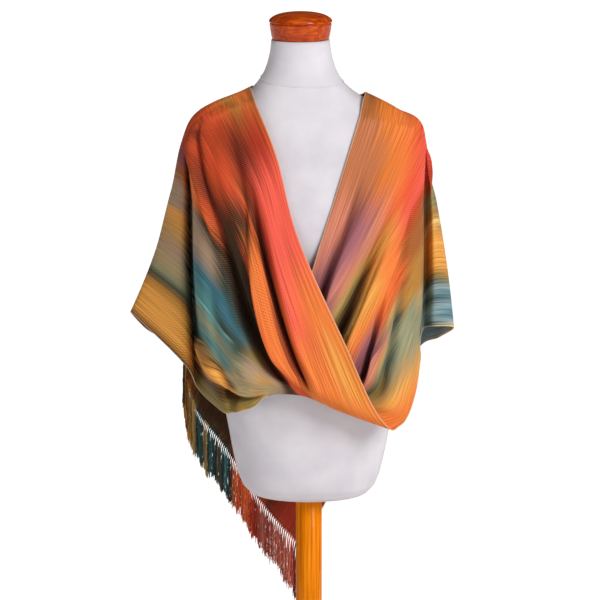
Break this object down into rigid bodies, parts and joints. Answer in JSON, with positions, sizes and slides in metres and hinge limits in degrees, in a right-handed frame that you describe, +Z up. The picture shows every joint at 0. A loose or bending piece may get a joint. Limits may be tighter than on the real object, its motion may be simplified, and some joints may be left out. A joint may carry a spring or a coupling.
{
  "type": "asymmetric poncho on a limbless dress form",
  "caption": "Hand-woven fringed strip sewn into a loop and worn with a half twist as a poncho, on a limbless dress form with a wooden cap, pole and foot.",
  "frame": {"origin": "middle of the round foot's flat underside, where the stand rests on the floor", "axes": "+Z up the pole, -Y to the front of the poncho, +X to the viewer's right"},
  "size_m": [0.5419, 0.36, 1.4158],
  "materials": {
    "poncho_weave": "hand-woven rayon twill, long space-dyed streaks in brick, orange, gold, olive, teal and plum",
    "fringe_yarn": "knotted warp ends, olive, gold, teal, orange and dark red from top to tip",
    "white_jersey": "smooth white stretch jersey over a padded torso",
    "cap_wood": "red-brown turned wood, gloss varnish",
    "stand_wood": "honey-coloured straight-grained wood, satin varnish"
  },
  "bodies": {
    "root": {"poncho_cloth": "poncho_weave", "poncho_fringe": "fringe_yarn", "form_torso": "white_jersey", "neck_cap": "cap_wood", "stand_pole": "stand_wood", "stand_foot": "stand_wood"}
  },
  "joints": []
}
